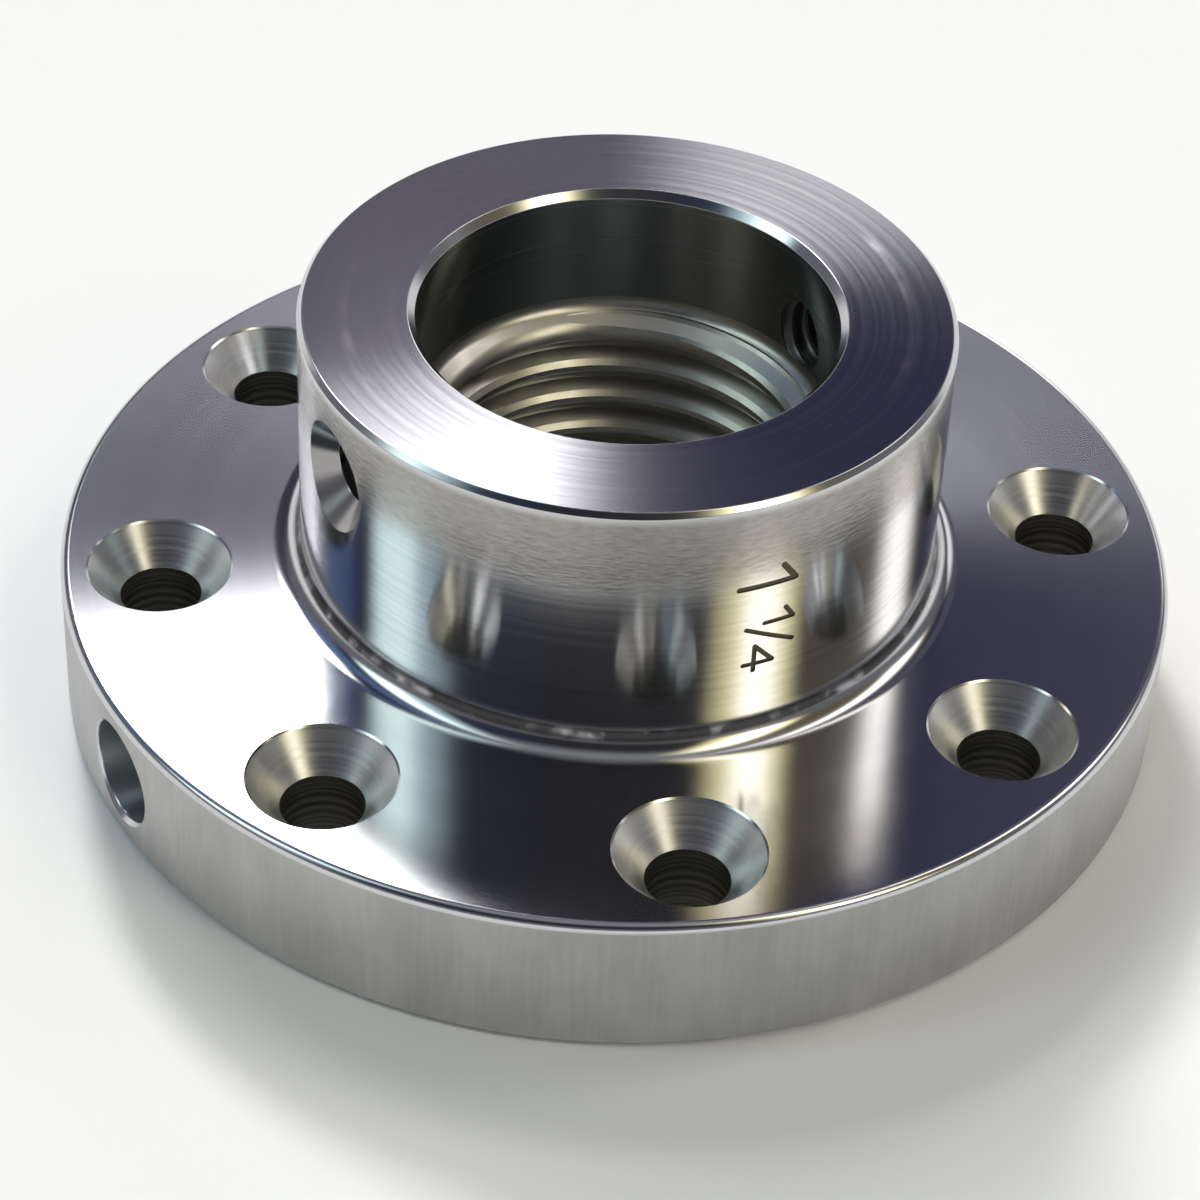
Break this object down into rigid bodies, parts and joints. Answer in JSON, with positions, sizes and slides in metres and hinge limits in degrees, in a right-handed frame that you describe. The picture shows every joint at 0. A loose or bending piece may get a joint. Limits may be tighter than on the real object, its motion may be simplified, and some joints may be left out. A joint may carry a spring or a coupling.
{
  "type": "lathe faceplate",
  "caption": "Turned stainless steel lathe faceplate: a round plate with countersunk screw holes and a tommy bar hole, and a hub with a threaded spindle bore and set screw holes.",
  "frame": {"origin": "centre of the flat work face", "axes": "+Z along the spindle bore, from the work face to the hub's end face, which is the bore's mouth"},
  "size_m": [0.0888, 0.0888, 0.0346],
  "materials": {
    "steel": "fine turned stainless steel, near mirror on the hub, plate and bevels, satin on the plate's edge"
  },
  "bodies": {
    "root": {"faceplate": "steel"}
  },
  "joints": []
}
